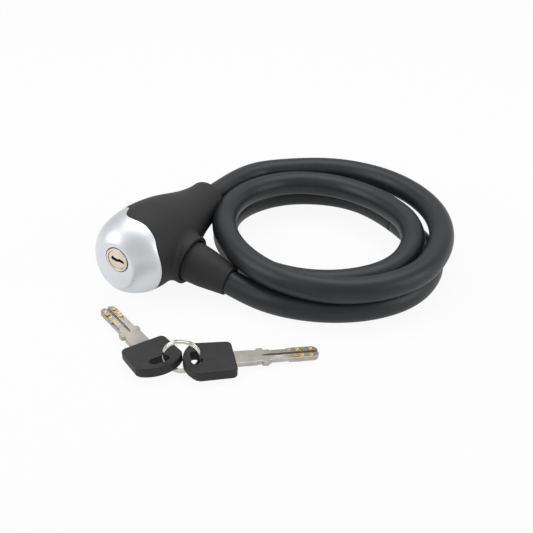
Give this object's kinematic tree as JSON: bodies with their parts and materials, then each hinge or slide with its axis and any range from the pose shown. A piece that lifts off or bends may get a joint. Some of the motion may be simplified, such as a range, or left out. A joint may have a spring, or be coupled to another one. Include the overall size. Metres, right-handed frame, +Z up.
{
  "type": "cable lock",
  "caption": "Coiled black sheathed steel cable lock with a silver-capped key cylinder head, a pull-out cable plug and dimple keys on a split ring.",
  "frame": {"origin": "on the surface the lock lies on, at the middle of the cable's coil", "axes": "+Z up out of the coil, +X to the right and +Y to the back, with the lock head at the left and the keys at the front left"},
  "size_m": [0.1716, 0.1697, 0.0403],
  "materials": {
    "satin_cap": "satin silver, softly blasted",
    "soft_black": "matt soft-touch black",
    "cast_zinc": "bare zinc casting",
    "nickel_face": "fine turned nickel-plated brass",
    "brass": "turned brass",
    "spring_steel": "bright drawn wire",
    "bright_steel": "bright turned steel",
    "crimp_metal": "crimped aluminium",
    "wire_strand": "stranded steel wire",
    "seal_rubber": "soft black rubber",
    "cable_cover": "smooth matt black vinyl cover",
    "ring_steel": "polished nickel-plated wire",
    "key_black": "fine-textured black plastic",
    "key_nickel": "nickel silver with milled dimples"
  },
  "bodies": {
    "head": {"dome_cap": "satin_cap", "head_shell": "soft_black", "lock_body": "cast_zinc", "cylinder_barrel": "nickel_face", "driver_pins": "brass", "pin_springs": "spring_steel", "barrel_pin": "bright_steel", "fixed_ferrule": "crimp_metal", "core_end_fixed": "wire_strand", "fixed_cross_pin": "bright_steel", "port_seal": "seal_rubber", "cable_tail": "cable_cover", "cable_coil": "cable_cover"},
    "rotor": {"key_plug": "nickel_face", "key_pins": "brass", "plug_clip": "spring_steel", "drive_cam": "bright_steel"},
    "latch": {"latch_bolt": "bright_steel", "latch_spring": "spring_steel"},
    "cable_plug": {"plug_bolt": "bright_steel", "plug_ferrule": "crimp_metal", "core_end_plug": "wire_strand", "plug_sleeve": "soft_black", "cable_lead": "cable_cover"},
    "ring": {"split_ring": "ring_steel"},
    "left_key": {"key_left_head": "key_black", "key_left_blade": "key_nickel"},
    "right_key": {"key_right_head": "key_black", "key_right_blade": "key_nickel"}
  },
  "joints": [
    {"name": "key_turn", "type": "hinge", "parent": "head", "child": "rotor", "pos_m": [-0.09684, -0.04432, 0.02415], "axis": [0.515, 0.8572, 0], "range_deg": [0, 90]},
    {"name": "latch_slide", "type": "slide", "parent": "head", "child": "latch", "axis": [-0.1782, 0.1071, -0.9781], "range_m": [0, 0.0022], "deforming": ["latch_spring"]},
    {"name": "plug_pull", "type": "slide", "parent": "head", "child": "cable_plug", "axis": [0.8384, -0.5038, -0.2079], "range_m": [0, 0.026], "deforming": ["cable_lead"]},
    {"name": "key_lift", "type": "slide", "parent": "head", "child": "ring", "axis": [0, 0, 1], "range_m": [0, 0.1]},
    {"name": "left_key_swing", "type": "hinge", "parent": "ring", "child": "left_key", "pos_m": [-0.0645, -0.0956, 0.00834], "axis": [0, 1, 0], "range_deg": [0, 60]},
    {"name": "right_key_swing", "type": "hinge", "parent": "ring", "child": "right_key", "pos_m": [-0.0645, -0.0956, 0.00834], "axis": [0, -1, 0], "range_deg": [0, 60]}
  ],
  "couplings": [
    {"joint": "key_turn", "follows": "latch_slide", "rad_per_m": 713.9}
  ]
}
